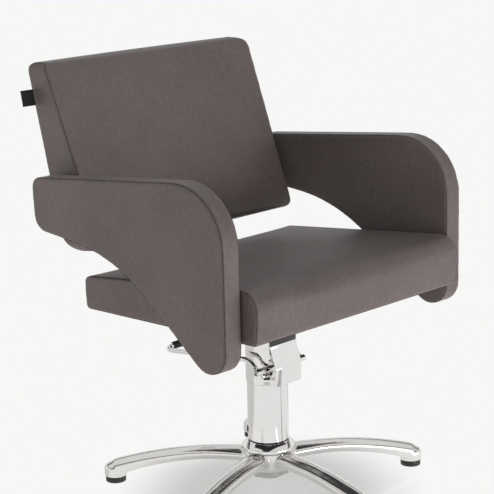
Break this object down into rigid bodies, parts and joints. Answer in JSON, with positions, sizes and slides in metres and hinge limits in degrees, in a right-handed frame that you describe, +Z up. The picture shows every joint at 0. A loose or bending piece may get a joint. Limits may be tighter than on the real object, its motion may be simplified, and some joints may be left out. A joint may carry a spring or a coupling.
{
  "type": "styling chair",
  "caption": "Salon styling chair with padded seat, sweeping padded arms and a wedge back on a hydraulic swivel column, rear U-shaped foot pedal and arched star base with glides.",
  "frame": {"origin": "on the floor, on the swivel axis of the column", "axes": "+Z up along the swivel axis; -Y the way the sitter faces; +X the sitter's left"},
  "size_m": [0.6227, 0.6526, 0.8055],
  "materials": {
    "polished_aluminium": "polished casting",
    "chrome": "bright chrome plate",
    "steel": "plain zinc-plated steel",
    "black_plastic": "satin moulded",
    "black_rubber": "matt",
    "black_paint": "satin black",
    "white_nylon": "machined nylon",
    "birch_ply": "bare plywood",
    "taupe_vinyl": "satin taupe-grey vinyl upholstery over foam, fine grain",
    "black_cloth": "woven"
  },
  "bodies": {
    "base": {"base_star": "polished_aluminium", "glide_1": "black_plastic", "glide_2": "black_plastic", "glide_3": "black_plastic", "glide_4": "black_plastic", "glide_5": "black_plastic", "hub_collar": "chrome", "swivel_bush": "white_nylon", "thrust_washer": "steel"},
    "column": {"inner_column": "chrome", "column_nut": "steel"},
    "pedal": {"pivot_shaft": "chrome", "pedal_lever": "chrome", "pedal_sleeve": "black_rubber", "pump_link": "chrome"},
    "plunger": {"pump_plunger": "black_plastic"},
    "seat_unit": {"arm_board_left": "birch_ply", "arm_board_right": "birch_ply", "arm_bolt_left_front": "steel", "arm_bolt_left_rear": "steel", "arm_bolt_right_front": "steel", "arm_bolt_right_rear": "steel", "arm_inner_pad_left": "taupe_vinyl", "arm_inner_pad_right": "taupe_vinyl", "arm_shell_left": "taupe_vinyl", "arm_shell_right": "taupe_vinyl", "back_cushion": "taupe_vinyl", "back_frame": "birch_ply", "back_pin_left_lower": "steel", "back_pin_left_upper": "steel", "back_pin_right_lower": "steel", "back_pin_right_upper": "steel", "back_rear_panel": "taupe_vinyl", "column_plug": "black_plastic", "front_cover": "chrome", "outer_tube": "chrome", "plate_bolt_left_front": "steel", "plate_bolt_left_rear": "steel", "plate_bolt_right_front": "steel", "plate_bolt_right_rear": "steel", "pump_head": "chrome", "seat_bearer_left": "black_paint", "seat_bearer_right": "black_paint", "seat_cushion": "taupe_vinyl", "seat_frame": "birch_ply", "seat_liner": "black_cloth", "seat_plate": "black_paint", "side_tag": "black_cloth", "tube_wiper": "black_rubber"}
  },
  "joints": [
    {"name": "swivel", "type": "hinge", "parent": "base", "child": "column", "pos_m": [0, 0, 0.09], "axis": [0, 0, 1], "continuous": true},
    {"name": "lift", "type": "slide", "parent": "column", "child": "seat_unit", "axis": [0, 0, 1], "range_m": [0, 0.13]},
    {"name": "pedal_hinge", "type": "hinge", "parent": "seat_unit", "child": "pedal", "pos_m": [0, -0.033, 0.25], "axis": [1, 0, 0], "range_deg": [-25, 0], "stiffness_Nm_per_rad": 3, "springref_deg": 40.11},
    {"name": "plunger_slide", "type": "slide", "parent": "seat_unit", "child": "plunger", "axis": [0, 0, 1], "range_m": [-0.008, 0]}
  ],
  "couplings": [
    {"joint": "plunger_slide", "follows": "pedal_hinge", "m_per_rad": 0.018}
  ]
}
